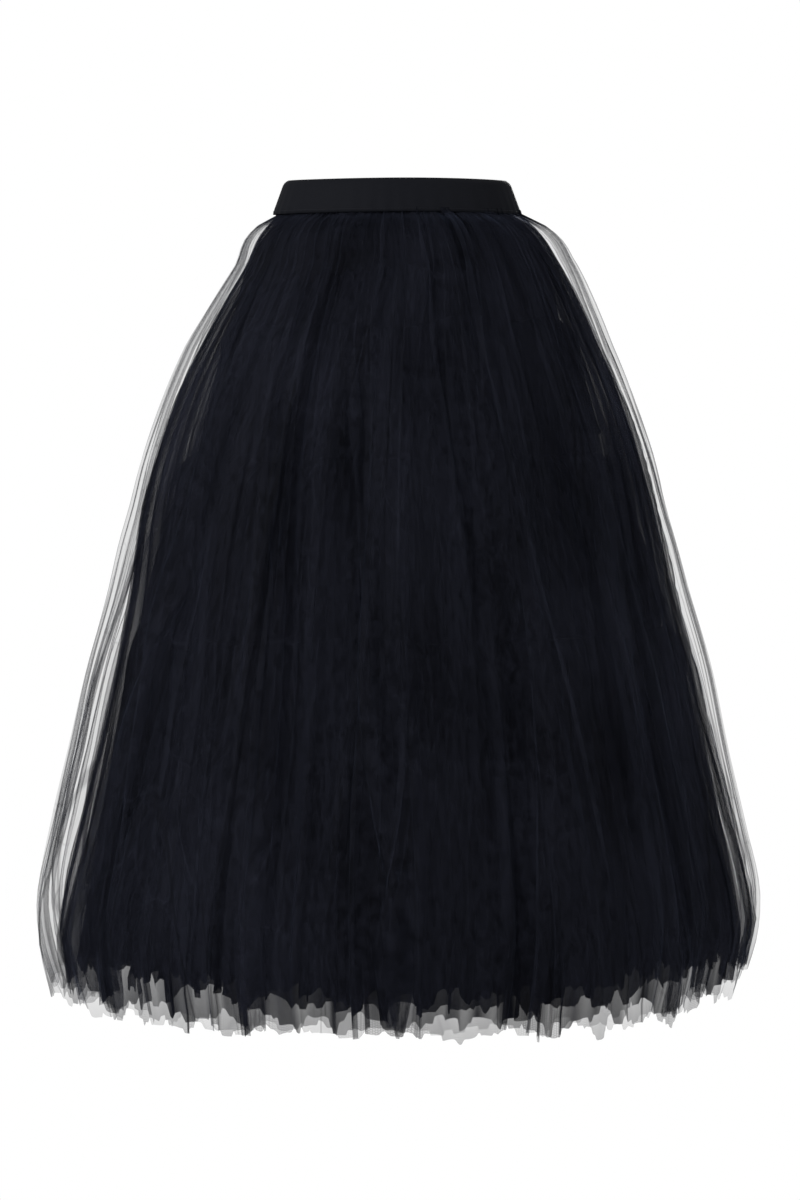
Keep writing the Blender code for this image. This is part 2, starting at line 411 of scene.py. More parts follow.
def net_material(net):
    """See-through net whose cover follows its threads, its bunching and its finest pleats."""
    material = bpy.data.materials.new(net.name)
    material.use_nodes = True
    nodes = material.node_tree.nodes
    link = material.node_tree.links.new
    shader = nodes["Principled BSDF"]
    shader.inputs["Roughness"].default_value = 0.65
    shader.inputs["Specular IOR Level"].default_value = 0.04
    shader.inputs["Sheen Weight"].default_value = net.sheen
    shader.inputs["Sheen Roughness"].default_value = 0.40
    shader.inputs["Sheen Tint"].default_value = (0.50, 0.62, 1.0, 1.0)

    def value_map(source, low, high, to_low, to_high):
        made = nodes.new("ShaderNodeMapRange")
        made.inputs["From Min"].default_value = low
        made.inputs["From Max"].default_value = high
        made.inputs["To Min"].default_value = to_low
        made.inputs["To Max"].default_value = to_high
        link(source, made.inputs["Value"])
        return made.outputs["Result"]

    def combine(operation, first, second):
        made = nodes.new("ShaderNodeMath")
        made.operation = operation
        link(first, made.inputs[0])
        link(second, made.inputs[1])
        return made.outputs[0]

    # The UV map is in metres of cloth: x round the skirt, y down it.
    place = nodes.new("ShaderNodeUVMap")
    place.uv_map = "cloth"
    holes = nodes.new("ShaderNodeGroup")
    holes.node_tree = HEXAGONAL_NET
    holes.inputs["Pitch"].default_value = net.pitch
    link(place.outputs["UV"], holes.inputs["Vector"])
    stretch = nodes.new("ShaderNodeMapping")
    stretch.inputs["Scale"].default_value = FINE_PLEATS
    link(place.outputs["UV"], stretch.inputs["Vector"])
    pleats = nodes.new("ShaderNodeTexNoise")
    pleats.noise_dimensions = "2D"
    pleats.inputs["Scale"].default_value = 1.0
    pleats.inputs["Detail"].default_value = 1.0
    link(stretch.outputs["Vector"], pleats.inputs["Vector"])
    down = nodes.new("ShaderNodeSeparateXYZ")
    link(place.outputs["UV"], down.inputs["Vector"])
    patches = nodes.new("ShaderNodeTexNoise")
    patches.noise_dimensions = "2D"
    patches.inputs["Scale"].default_value = CLOUDY_PATCHES
    patches.inputs["Detail"].default_value = 1.0
    link(place.outputs["UV"], patches.inputs["Vector"])
    grain = nodes.new("ShaderNodeTexNoise")
    grain.noise_dimensions = "2D"
    grain.inputs["Scale"].default_value = 1.0
    grain.inputs["Detail"].default_value = 2.0
    grain.inputs["Roughness"].default_value = 0.75
    woven = nodes.new("ShaderNodeMapping")
    woven.inputs["Scale"].default_value = WOVEN_GRAIN
    link(place.outputs["UV"], woven.inputs["Vector"])
    link(woven.outputs["Vector"], grain.inputs["Vector"])
    # The pressed attribute also holds the troughs of the largest folds, where it darkens the colour as
    # painted shade.
    creased = nodes.new("ShaderNodeAttribute")
    creased.attribute_name = "pressed"
    counted = nodes.new("ShaderNodeAttribute")
    counted.attribute_name = "turns"
    turns = nodes.new("ShaderNodeSeparateXYZ")
    link(counted.outputs["Vector"], turns.inputs["Vector"])

    def fold_line(turn, width, strength):
        """A fine line where the count of folds is whole, along each fold's two edges."""
        away = nodes.new("ShaderNodeMath")
        away.operation = "PINGPONG"
        away.inputs[1].default_value = 0.5
        link(turn, away.inputs[0])
        line = value_map(away.outputs[0], 0.4 * width, width, 1.0, 0.0)
        return combine("MULTIPLY", line, strength)

    deepest = value_map(turns.outputs["Y"], 0.45, 1.15, 0.0, 1.0)
    edges = fold_line(turns.outputs["X"], FOLD_LINE_WIDTH, deepest)
    lines = combine("MAXIMUM", edges, creased.outputs["Fac"])
    # Near its top the gathers close the cloth up, and its colour is painted darker there as shade under
    # the band and the tier seams.
    bunched = value_map(down.outputs["Y"], 0.0, net.bunched, 0.85, 0.0)

    tint = nodes.new("ShaderNodeMix")
    tint.data_type = "RGBA"
    tint.inputs["A"].default_value = (*net.dark, 1.0)
    tint.inputs["B"].default_value = (*net.light, 1.0)
    clouds = value_map(patches.outputs["Fac"], 0.0, 1.0, 0.30, 0.70)
    mottled = combine("ADD", value_map(pleats.outputs["Fac"], 0.0, 1.0, 0.25, 0.75), clouds)
    mottled = combine("ADD", mottled, grain.outputs["Fac"])
    link(value_map(mottled, 1.25, 1.75, 0.0, 1.0), tint.inputs["Factor"])
    # The colour darkens along the cloth's lines and near its top: where it closes up, and as painted
    # shade in deep troughs and under the band and the tier seams.
    closed_up_and_shaded = nodes.new("ShaderNodeMix")
    closed_up_and_shaded.data_type = "RGBA"
    closed_up_and_shaded.inputs["B"].default_value = (*(CLOSED_UP_AND_SHADED * channel for channel in net.dark), 1.0)
    link(tint.outputs["Result"], closed_up_and_shaded.inputs["A"])
    link(combine("MAXIMUM", value_map(lines, 0.0, 1.0, 0.0, 0.8), bunched), closed_up_and_shaded.inputs["Factor"])
    link(closed_up_and_shaded.outputs["Result"], shader.inputs["Base Color"])
    cover = value_map(holes.outputs["Threads"], 0.0, 1.0, net.clear, net.dense)
    streak = value_map(pleats.outputs["Fac"], 0.32, 0.70, 1.0 - net.streaks, 1.0 + 1.6 * net.streaks)
    cover = combine("MULTIPLY", cover, streak)
    if net.crumples:
        # Cell edges, bent by noise and kept only in some patches, are the crumple lines.
        kept = value_map(patches.outputs["Fac"], 0.42, 0.60, 0.0, 1.0)
        bend = nodes.new("ShaderNodeVectorMath")
        bend.operation = "MULTIPLY_ADD"
        bend.inputs[1].default_value = (0.10, 0.16, 0.0)
        link(patches.outputs["Color"], bend.inputs[0])
        link(place.outputs["UV"], bend.inputs[2])
        cells = nodes.new("ShaderNodeTexVoronoi")
        cells.voronoi_dimensions = "2D"
        cells.feature = "DISTANCE_TO_EDGE"
        cells.inputs["Scale"].default_value = CRUMPLE_CELLS
        link(bend.outputs["Vector"], cells.inputs["Vector"])
        edge = value_map(cells.outputs["Distance"], 0.0, 0.022, net.crumples, 0.0)
        cover = combine("ADD", cover, combine("MULTIPLY", edge, kept))
    cover = combine("ADD", cover, value_map(lines, 0.0, 1.0, 0.0, net.pressed))
    cover = combine("MAXIMUM", cover, bunched)
    if net.clear < 1:
        link(cover, shader.inputs["Alpha"])
    return material


def make_yoke():
    azimuth = np.linspace(-math.pi, math.pi, YOKE_COLUMNS, endpoint=False)[None, :]
    lowest = YOKE_OVALS[-1].drop
    drop = np.linspace(YOKE_OVALS[0].drop, lowest, YOKE_ROWS)[:, None]
    pulls = YOKE_PULLS * chance_wave(azimuth, drop, 5, 16, 300, 14.0) * (drop / lowest) ** 2
    half_width = through(YOKE_OVALS, "half_width", drop)
    half_depth = through(YOKE_OVALS, "half_depth", drop)
    x, y = on_oval(azimuth, half_width, half_depth, pulls)
    z = -drop - seam_sag(azimuth, drop) - front_dip(azimuth)
    around = np.linspace(0.0, YOKE_CUT[0], YOKE_COLUMNS + 1)
    uv = np.stack(np.meshgrid(around, drop[:, 0]), axis=-1)
    cloth = net_material(
        Net(
            "black_yoke_cloth",
            dark=(0.0026, 0.0028, 0.0040),
            light=(0.0046, 0.0050, 0.0070),
            clear=1.0,
            dense=1.0,
            sheen=0.02,
            bunched=0.01,
        )
    )
    return woven_grid("petticoat_yoke_cloth", Grid(np.stack([x, y, z], axis=-1), uv, True), cloth)


yoke = make_yoke()
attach(yoke, BODY)
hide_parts("petticoat_yoke")


# Petticoat tiers
# Three gathered bands of stiff net, each sewn to the edge of the one above, so that the
# petticoat stands out step by step. Each is two plies, and the lowest has ragged raw hems.
Drape = namedtuple("Drape", "azimuth_deg drift_deg_per_m width_deg depth starts_at_drop")
LARGEST_FOLDS = (
    Drape(-46, -24, 6.0, -0.0070, 0.05),
    Drape(-44.5, -24, 2.2, -0.0130, 0.04),
    Drape(-30, -16, 8.0, 0.0060, 0.12),
    Drape(-15, 18, 2.6, -0.0070, 0.10),
    Drape(-10, 2, 7.0, -0.0090, 0.08),
    Drape(-2, 5, 6.0, 0.0055, 0.12),
    Drape(3, -6, 3.0, -0.0050, 0.36),
    Drape(7, 18, 7.0, -0.0085, 0.06),
    Drape(16, 3, 2.6, -0.0075, 0.12),
    Drape(25, 10, 6.0, 0.0070, 0.12),
    Drape(36, 16, 2.4, -0.0070, 0.08),
    Drape(46, 8, 8.0, 0.0060, 0.06),
    Drape(62, -12, 7.0, -0.0080, 0.25),
    Drape(66, -10, 2.4, -0.0060, 0.12),
    Drape(78, 0, 9.0, 0.0050, 0.14),
    Drape(104, 6, 7.0, -0.0090, 0.12),
    Drape(113, -8, 2.4, -0.0070, 0.10),
    Drape(127, 0, 9.0, 0.0060, 0.10),
    Drape(140, 12, 2.6, -0.0085, 0.08),
    Drape(150, -10, 7.0, -0.0085, 0.16),
    Drape(166, -6, 2.4, -0.0065, 0.26),
    Drape(178, 0, 9.0, 0.0060, 0.12),
    Drape(190, 10, 3.0, -0.0085, 0.14),
    Drape(205, 12, 7.0, -0.0085, 0.10),
    Drape(226, 0, 8.0, 0.0055, 0.16),
    Drape(238, 8, 2.4, -0.0070, 0.08),
    Drape(249, -8, 7.0, -0.0090, 0.14),
    Drape(283, 0, 9.0, 0.0055, 0.12),
)
DRAPE_RUN = 0.24

# A fold size: how many go round, their depths from the waist down, how far they lean over,
# how unevenly they are spaced, and the seed of their chance.
FoldSize = namedtuple("FoldSize", "count top hip mid hem lean uneven seed")
DEPTH_STATIONS = (0.026, 0.110, 0.340, 0.740)


def large_folds(azimuth, drop):
    """How far the largest folds, which run through every layer alike, move the cloth out."""
    total = 0.0
    for fold in LARGEST_FOLDS:
        away = np.degrees(azimuth) - fold.azimuth_deg - fold.drift_deg_per_m * drop
        away = (away + 180.0) % 360.0 - 180.0
        grown = np.clip((drop - fold.starts_at_drop) / DRAPE_RUN, 0.0, 1.0)
        eased = grown * grown * (3.0 - 2.0 * grown)
        total = total + fold.depth * eased * np.exp(-((away / fold.width_deg) ** 2))
    return total


# How near to straight the sides of a fold are: 1 would make them meet in a sharp edge.
FOLD_SHARPNESS = 0.94


def folds(azimuth, drop, size):
    """How far folds of one size push the cloth out and along, where they are, and how deep."""
    count = size.count
    phase = count * azimuth
    phase = phase + size.uneven * chance_wave(azimuth, drop, count // 7, count // 3, size.seed, 1.6)
    gain = 0.60 + 0.62 * chance_wave(azimuth, drop, 4, max(count // 3, 6), size.seed + 1, 4.5)
    gain = np.clip(gain, 0.04, 2.0)
    depth = gain * np.interp(drop, DEPTH_STATIONS, (size.top, size.hip, size.mid, size.hem))
    out = depth * np.arcsin(FOLD_SHARPNESS * np.sin(phase)) / math.asin(FOLD_SHARPNESS)
    side = 1.0 + 0.5 * chance_wave(azimuth, drop, 3, 9, size.seed + 2)
    along = size.lean * side * depth * np.cos(phase + 0.5)
    return out, along, phase / math.pi + 0.5, gain


# A crease's width and lap are those where the skirt is this wide to one side.
CREASE_HALF_WIDTH = 0.30
CREASE_STANDS = 0.5
CREASE_RUN = 0.10
PRESSED_WIDTH = 0.0011


def creases(azimuth, drop, half_width, table, turn_deg):
    """Long laps, where the cloth folds back over itself.

    Gives how far they move it out and along, and how hard they press it. A crease's width and
    lap are those at the hem, and it narrows towards the waist.
    """
    out = 0.0
    along = 0.0
    pressed = 0.0
    narrowed = half_width / CREASE_HALF_WIDTH
    for crease in table:
        away = np.degrees(azimuth) - crease.azimuth_deg - turn_deg - crease.drift_deg_per_m * drop
        away = np.radians((away + 180.0) % 360.0 - 180.0) * CREASE_HALF_WIDTH / crease.width
        grown = np.clip((drop - crease.from_drop) / CREASE_RUN, 0.0, 1.0)
        fading = np.clip((crease.to_drop - drop) / CREASE_RUN, 0.0, 1.0)
        kept = grown * fading
        profile = narrowed * kept * away * np.exp(0.5 - 0.5 * away * away)
        out = out - crease.facing * CREASE_STANDS * crease.width * profile
        along = along - crease.lap * profile
        line = (np.abs(away) - 1.0) * crease.width / PRESSED_WIDTH
        pressed = pressed + kept * np.exp(-line * line)
    return out, along, np.minimum(pressed, 1.0)


Rise = namedtuple("Rise", "azimuth_deg width_deg height")
HEM_RISES = (
    Rise(86, 20, 0.022),
    Rise(-88, 16, 0.006),
    Rise(-140, 30, 0.007),
    Rise(150, 26, 0.006),
)


def hem_rise(azimuth):
    """How much higher the hems sit here: they aren't level, and rise most at the right side."""
    total = 0.0
    for rise in HEM_RISES:
        away = (np.degrees(azimuth) - rise.azimuth_deg + 180.0) % 360.0 - 180.0
        total = total + rise.height * np.exp(-((away / rise.width_deg) ** 2))
    return total


def ragged_hem(azimuth, seed, points, reach):
    """How much lower a raw hem hangs: flaps of unlike length, with slanting hems and corners."""
    broad = chance_wave(azimuth, 0.0, points // 3, points, seed + 1)
    narrow = chance_wave(azimuth, 0.0, points, points * 3, seed + 3)
    total = 0.26 * (np.tanh(16.0 * (broad - 0.5)) + np.tanh(16.0 * (broad + 0.4)))
    total = total + 0.22 * np.tanh(12.0 * narrow)
    for count, share in ((points, 0.22), (points * 3 + 7, 0.08)):
        uneven = chance_wave(azimuth, 0.0, count // 9, count // 4, seed + count)
        gain = np.clip(0.7 + 0.8 * chance_wave(azimuth, 0.0, 5, count // 2, seed + 2 * count), 0.0, 2.0)
        total = total + share * gain * np.arcsin(np.sin(count * azimuth / 2 + 0.8 * uneven)) * 2 / math.pi
    return reach * total


# One ply of cloth. Crowding packs its rows towards the waist, and offset is how far outside
# the section line it hangs. It follows the largest folds by a share, and its own folds slant.
# Points and reach are its ragged hem's, cut is its flat size, and laps are its creases.
Ply = namedtuple(
    "Ply",
    "columns rows crowding hem offset shift follows slant points reach seed cut laps span closed",
    defaults=((), (-math.pi, math.pi), True),
)
SHIFT_STATIONS = (0.03, 0.08, 0.15, 0.30, 0.45, 0.75)
CREST_STANDS = 0.0013
CREST_WIDTH = 0.05
# How deep a trough of the largest folds is where it is fully closed up and painted darker as shade, and
# how strongly.
TROUGH_DEPTH = 0.0095
TROUGH_DENSER_AND_SHADED = 0.50
BILLOW = 0.005
# A ragged hem keeps to the last part of the cloth: the power of the share of the way down.
HEM_RUN = 6
HEM_FOLLOWS = 0.35
HEM_PRESSED = 0.35
HEM_PRESSED_RUN = 30
# How far a ply's creases turn from those of its section line, in degrees for each metre.
CREASE_TURN = 600
DIP_FADES_FROM = 0.03
DIP_FADES_OVER = 0.2


def cloth_tube(name, ovals, sizes, ply, material):
    """One ply of gathered cloth all round, or a stretch of one between two azimuths."""
    columns = ply.columns + (0 if ply.closed else 1)
    azimuth = np.linspace(*ply.span, columns, endpoint=not ply.closed)[None, :]
    top = ovals[0].drop
    share = np.linspace(0.0, 1.0, ply.rows)[:, None]
    drop = top + (ply.hem - top) * share**ply.crowding
    fallen = azimuth + ply.slant * chance_wave(azimuth, 0.0, 2, 6, ply.seed) * (drop - top)
    half_width = through(ovals, "half_width", drop)
    half_depth = through(ovals, "half_depth", drop)
    out, along, pressed = creases(azimuth, drop, half_width, ply.laps, ply.offset * CREASE_TURN)
    # Where the largest folds run in, the cloth closes up, and the same mask paints its colour
    # darker there as shade in the trough.
    largest = large_folds(azimuth, drop)
    pressed = np.maximum(pressed, TROUGH_DENSER_AND_SHADED * np.clip(-largest / TROUGH_DEPTH, 0.0, 1.0))
    # The flaps of a raw hem double up.
    if ply.reach:
        pressed = np.maximum(pressed, HEM_PRESSED * share**HEM_PRESSED_RUN)
    out = out + ply.offset + largest * ply.follows
    out = out + BILLOW * drop * chance_wave(azimuth, drop, 2, 6, ply.seed + 9, 16.0)
    ripple = 0.0
    placed = []
    for size in sizes:
        fold_out, fold_along, turn, gain = folds(fallen, drop, size)
        ripple = ripple + fold_out
        along = along + fold_along
        placed.append((turn, gain))
    # The medium folds are pinched sharp along their crests, where their count is odd.
    turn, gain = placed[1]
    from_crest = (np.mod(turn, 2.0) - 1.0) / CREST_WIDTH
    out = out + ripple + CREST_STANDS * gain * np.exp(-from_crest * from_crest)
    x, y = on_oval(azimuth, half_width, half_depth, out, along)
    x = x + np.interp(drop, SHIFT_STATIONS, ply.shift)
    ragged = ragged_hem(azimuth, ply.seed + 5, ply.points, ply.reach) - hem_rise(azimuth)
    if ply.reach:
        ragged = ragged + HEM_FOLLOWS * ripple
    ragged = ragged * share**HEM_RUN
    dip_left = np.clip(1.0 - (drop - DIP_FADES_FROM) / DIP_FADES_OVER, 0.0, 1.0)
    sag = seam_sag(azimuth, drop) if ply.closed else 0.0
    z = -drop - ragged - front_dip(azimuth) * dip_left - sag
    around = np.linspace(0.0, ply.cut[0], ply.columns + 1)
    down = np.broadcast_to(share * ply.cut[1], (ply.rows, ply.columns + 1))
    uv = np.stack([np.broadcast_to(around, down.shape), down], axis=-1)
    points = np.stack(np.broadcast_arrays(x, y, z), axis=-1)
    pressed = np.broadcast_to(pressed, points.shape[:2])
    turns = np.stack(np.broadcast_arrays(turn, gain, 0.0), axis=-1)
    return woven_grid(name, Grid(points, uv, ply.closed, pressed, turns), material)


TOP_TIER_OVALS = (
    Oval(0.1283, 0.1520, 0.1220),
    Oval(0.1370, 0.1605, 0.1300),
    Oval(0.1600, 0.1645, 0.1335),
    Oval(0.2050, 0.1745, 0.1425),
    Oval(0.2500, 0.1830, 0.1505),
)
MIDDLE_TIER_OVALS = (
    Oval(0.2503, 0.1840, 0.1515),
    Oval(0.2570, 0.1950, 0.1610),
    Oval(0.2900, 0.2060, 0.1710),
    Oval(0.3500, 0.2250, 0.1885),
    Oval(0.4100, 0.2400, 0.2025),
)
BOTTOM_TIER_OVALS = (
    Oval(0.4103, 0.2400, 0.2025),
    Oval(0.4220, 0.2465, 0.2080),
    Oval(0.4600, 0.2540, 0.2145),
    Oval(0.5400, 0.2670, 0.2265),
    Oval(0.6200, 0.2810, 0.2405),
    Oval(0.7240, 0.2975, 0.2560),
)
TIER_SHIFT = (0.0, 0.003, 0.003, 0.003, 0.006, 0.009)

stiff_net = net_material(
    Net(
        "black_stiff_net",
        dark=(0.0020, 0.0022, 0.0032),
        light=(0.0050, 0.0055, 0.0080),
        clear=0.92,
        dense=0.92,
        sheen=0.02,
        bunched=0.02,
        pitch=0.002,
        streaks=0.03,
    )
)

# The inner ply lies so full that no light comes through it.
full_net = net_material(
    Net(
        "black_full_net",
        dark=(0.0020, 0.0022, 0.0032),
        light=(0.0042, 0.0046, 0.0066),
        clear=1.0,
        dense=1.0,
        sheen=0.02,
        bunched=0.02,
    )
)

TIERS = (
    # name, sections, fold sizes, ply, replaced node
    (
        "petticoat_top_tier_net",
        TOP_TIER_OVALS,
        (
            FoldSize(120, 0.0010, 0.0012, 0.0012, 0.0012, 0.9, 0.8, 410),
            FoldSize(46, 0.0006, 0.0018, 0.0022, 0.0022, 0.6, 0.9, 420),
        ),
        Ply(
            columns=640, rows=16, crowding=1.0, hem=0.2500, offset=0.0, shift=TIER_SHIFT,
            follows=1.0, slant=0.4, points=30, reach=0.0, seed=430, cut=(1.35, 0.125),
        ),
        "petticoat_top_tier",
    ),
    (
        "petticoat_middle_tier_net",
        MIDDLE_TIER_OVALS,
        (
            FoldSize(140, 0.0010, 0.0012, 0.0014, 0.0014, 0.9, 0.8, 440),
            FoldSize(48, 0.0006, 0.0018, 0.0024, 0.0024, 0.6, 0.9, 450),
        ),
        Ply(
            columns=720, rows=20, crowding=1.0, hem=0.4100, offset=0.0, shift=TIER_SHIFT,
            follows=1.0, slant=0.4, points=30, reach=0.0, seed=460, cut=(1.85, 0.165),
        ),
        "petticoat_middle_tier",
    ),
    (
        "petticoat_bottom_tier_net",
        BOTTOM_TIER_OVALS,
        (
            FoldSize(160, 0.0010, 0.0012, 0.0014, 0.0022, 1.0, 0.8, 470),
            FoldSize(54, 0.0006, 0.0018, 0.0026, 0.0050, 0.8, 0.9, 480),
        ),
        Ply(
            columns=800, rows=36, crowding=1.0, hem=0.7215, offset=0.0, shift=TIER_SHIFT,
            follows=1.0, slant=0.5, points=60, reach=0.010, seed=490, cut=(2.45, 0.320),
        ),
        "petticoat_bottom_tier",
    ),
)
SEAM_OVERLAP = 0.022
HEM_STEP = 0.008
PLY_GAP = 0.0045
# The stitches stand a little outside the top of a tier, and below its edge.
SEAM_STITCHES_OUT = 1.008
SEAM_STITCHES_DROP = 0.002

tiers = []
for name, ovals, sizes, ply, node in TIERS:
    # The inner ply runs on past the seam at its foot, or ends above a free hem.
    inner_hem = ply.hem + (SEAM_OVERLAP if ply.reach == 0.0 else -HEM_STEP)
    for number, offset, hem, net in ((0, 0.0, ply.hem, stiff_net), (1, -PLY_GAP, inner_hem, full_net)):
        made = cloth_tube(
            f"{name}_{number + 1}",
            ovals,
            [size._replace(seed=size.seed + 7 * number) for size in sizes],
            ply._replace(offset=offset, seed=ply.seed + 7 * number, hem=hem),
            net,
        )
        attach(made, BODY)
        if number == 0:
            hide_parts(node)
            tiers.append((made, ply.columns))

for number, (tier, columns) in enumerate(tiers):
    top_row = np.array([tuple(tier.data.vertices[n].co) for n in range(columns)])
    top_row[:, :2] *= SEAM_STITCHES_OUT
    top_row[:, 2] -= SEAM_STITCHES_DROP
    row = stitch_along(
        f"tier_seam_stitches_{number + 1}",
        top_row,
        pitch=0.0050,
        length=0.0036,
        thickness=0.00035,
        thread=black_thread,
    )
    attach(row, BODY)


# Overlays
# Three loose layers of soft tulle, gathered together into the band. Each is cut far wider
# than the hem is round, so that it falls in hundreds of small sharp folds. Their raw edges
# hang at slightly different heights.

# A crease's azimuth is at the waist. It faces 1 or -1: which of its two sides lies on top.
Crease = namedtuple("Crease", "azimuth_deg drift_deg_per_m from_drop to_drop width lap facing")
CREASES = (
    # the front, as the photo shows them
    Crease(-43, -24, 0.06, 0.90, 0.0075, 0.0122, -1),
    Crease(-45.5, -24, 0.10, 0.90, 0.0040, 0.0050, -1),
    Crease(-53, 5, 0.26, 0.62, 0.0045, 0.0061, -1),
    Crease(-15, 20, 0.07, 0.90, 0.0065, 0.0090, 1),
    Crease(-6, -20, 0.01, 0.30, 0.0050, 0.0065, -1),
    Crease(6, 20, 0.02, 0.44, 0.0055, 0.0072, 1),
    Crease(17, 1, 0.16, 0.76, 0.0065, 0.0090, 1),
    Crease(18, 26, 0.03, 0.68, 0.0060, 0.0083, -1),
    Crease(5, -9, 0.34, 0.90, 0.0060, 0.0078, 1),
    Crease(30, 10, 0.01, 0.34, 0.0050, 0.0061, 1),
    Crease(38, 16, 0.08, 0.90, 0.0060, 0.0083, 1),
    Crease(46, 14, 0.20, 0.66, 0.0045, 0.0058, -1),
    Crease(57, 6, 0.04, 0.50, 0.0050, 0.0068, 1),
    Crease(64, -6, 0.26, 0.90, 0.0055, 0.0076, 1),
    Crease(76, 3, 0.10, 0.90, 0.0055, 0.0076, -1),
    Crease(26, -6, 0.40, 0.90, 0.0045, 0.0062, -1),
    Crease(-11, 6, 0.40, 0.90, 0.0045, 0.0056, -1),
    Crease(-25, -8, 0.02, 0.40, 0.0050, 0.0065, 1),
    Crease(-27, 4, 0.28, 0.90, 0.0055, 0.0076, -1),
    Crease(-46, -12, 0.03, 0.44, 0.0050, 0.0061, -1),
    Crease(-66, 6, 0.08, 0.76, 0.0055, 0.0076, -1),
    Crease(-76, -4, 0.26, 0.90, 0.0060, 0.0083, 1),
    Crease(-85, 3, 0.05, 0.80, 0.0045, 0.0061, -1),
    # the back, in the same sizes
    Crease(98, 8, 0.05, 0.62, 0.0050, 0.0069, 1),
    Crease(108, -10, 0.18, 0.90, 0.0065, 0.0090, -1),
    Crease(119, 12, 0.02, 0.42, 0.0050, 0.0061, 1),
    Crease(131, 0, 0.10, 0.90, 0.0075, 0.0103, -1),
    Crease(143, -18, 0.28, 0.76, 0.0050, 0.0065, 1),
    Crease(152, 10, 0.03, 0.90, 0.0060, 0.0083, -1),
    Crease(166, 4, 0.20, 0.68, 0.0045, 0.0061, 1),
    Crease(177, -12, 0.04, 0.38, 0.0050, 0.0061, -1),
    Crease(184, 14, 0.14, 0.90, 0.0075, 0.0103, 1),
    Crease(199, -6, 0.02, 0.54, 0.0055, 0.0072, -1),
    Crease(210, 8, 0.32, 0.90, 0.0055, 0.0076, 1),
    Crease(222, -14, 0.06, 0.90, 0.0065, 0.0090, -1),
    Crease(236, 6, 0.03, 0.46, 0.0050, 0.0065, 1),
    Crease(247, -4, 0.22, 0.90, 0.0055, 0.0076, -1),
    Crease(261, 3, 0.10, 0.72, 0.0050, 0.0068, 1),
)


def chance_creases(count, seed, drift, widths, laps):
    """Smaller creases between the placed ones, uneven in place, run, width and lap."""
    chance = np.random.default_rng(seed)
    made = []
    for number in range(count):
        azimuth = (number + chance.uniform(-0.45, 0.45)) * 360.0 / count
        from_drop = chance.uniform(-0.12, 0.42)
        width = chance.uniform(*widths)
        made.append(
            Crease(
                azimuth,
                chance.uniform(-drift, drift),
                from_drop,
                from_drop + chance.uniform(0.25, 0.90),
                width,
                width * chance.uniform(*laps),
                chance.choice((-1, 1)),
            )
        )
    return made


# Two kinds of small crease: how far they drift, in degrees for each metre, how wide they are,
# and how far they lap, as a share of their width.
LAPPED = (7.0, (0.0020, 0.0042), (1.0, 1.5))
PINCHED = (34.0, (0.0012, 0.0020), (0.1, 0.4))

outer_net = net_material(
    Net(
        "black_outer_tulle",
        dark=(0.0064, 0.0070, 0.0108),
        light=(0.0350, 0.0380, 0.0580),
        clear=0.100,
        dense=0.185,
        sheen=0.16,
        bunched=0.05,
        crumples=0.15,
        pressed=0.46,
    )
)
under_net = net_material(
    Net(
        "black_under_tulle",
        dark=(0.0046, 0.0050, 0.0078),
        light=(0.0220, 0.0240, 0.0365),
        clear=0.25,
        dense=0.42,
        sheen=0.12,
        bunched=0.06,
        streaks=0.10,
        pressed=0.42,
    )
)
inner_net = net_material(
    Net(
        "black_inner_tulle",
        dark=(0.0026, 0.0028, 0.0044),
        light=(0.0130, 0.0142, 0.0216),
        clear=0.64,
        dense=0.64,
        sheen=0.06,
        bunched=0.07,
        streaks=0.26,
        pressed=0.20,
    )
)

OUTER_OVALS = (
    Oval(0.0270, 0.1096, 0.0838),
    Oval(0.0325, 0.1124, 0.0866),
    Oval(0.0370, 0.1245, 0.0965),
    Oval(0.0450, 0.1360, 0.1065),
    Oval(0.0780, 0.1560, 0.1240),
    Oval(0.1150, 0.1755, 0.1425),
    Oval(0.1510, 0.1930, 0.1585),
    Oval(0.1880, 0.2085, 0.1730),
    Oval(0.2250, 0.2215, 0.1860),
    Oval(0.2620, 0.2330, 0.1965),
    Oval(0.2990, 0.2420, 0.2055),
    Oval(0.3360, 0.2530, 0.2160),
    Oval(0.3730, 0.2630, 0.2255),
    Oval(0.4480, 0.2860, 0.2475),
    Oval(0.5220, 0.3025, 0.2630),
    Oval(0.5960, 0.3182, 0.2780),
    Oval(0.6700, 0.3295, 0.2890),
    Oval(0.7100, 0.3255, 0.2870),
    Oval(0.7450, 0.3165, 0.2820),
)
UNDER_OVALS = (
    Oval(0.0270, 0.1086, 0.0828),
    Oval(0.0325, 0.1112, 0.0854),
    Oval(0.0450, 0.1235, 0.0960),
    Oval(0.0780, 0.1430, 0.1130),
    Oval(0.1140, 0.1630, 0.1315),
    Oval(0.1510, 0.1810, 0.1485),
    Oval(0.1880, 0.1985, 0.1645),
    Oval(0.2250, 0.2125, 0.1775),
    Oval(0.2620, 0.2235, 0.1880),
    Oval(0.2990, 0.2325, 0.1965),
    Oval(0.3730, 0.2450, 0.2095),
    Oval(0.4480, 0.2610, 0.2245),
    Oval(0.5220, 0.2765, 0.2390),
    Oval(0.5960, 0.2935, 0.2550),
    Oval(0.6700, 0.3105, 0.2710),
    Oval(0.7050, 0.3150, 0.2755),
    Oval(0.7350, 0.3090, 0.2730),
)
OUTER_SHIFT = (0.003, 0.008, 0.002, 0.003, 0.003, 0.000)
UNDER_SHIFT = (0.002, 0.006, 0.003, 0.001, 0.006, 0.006)

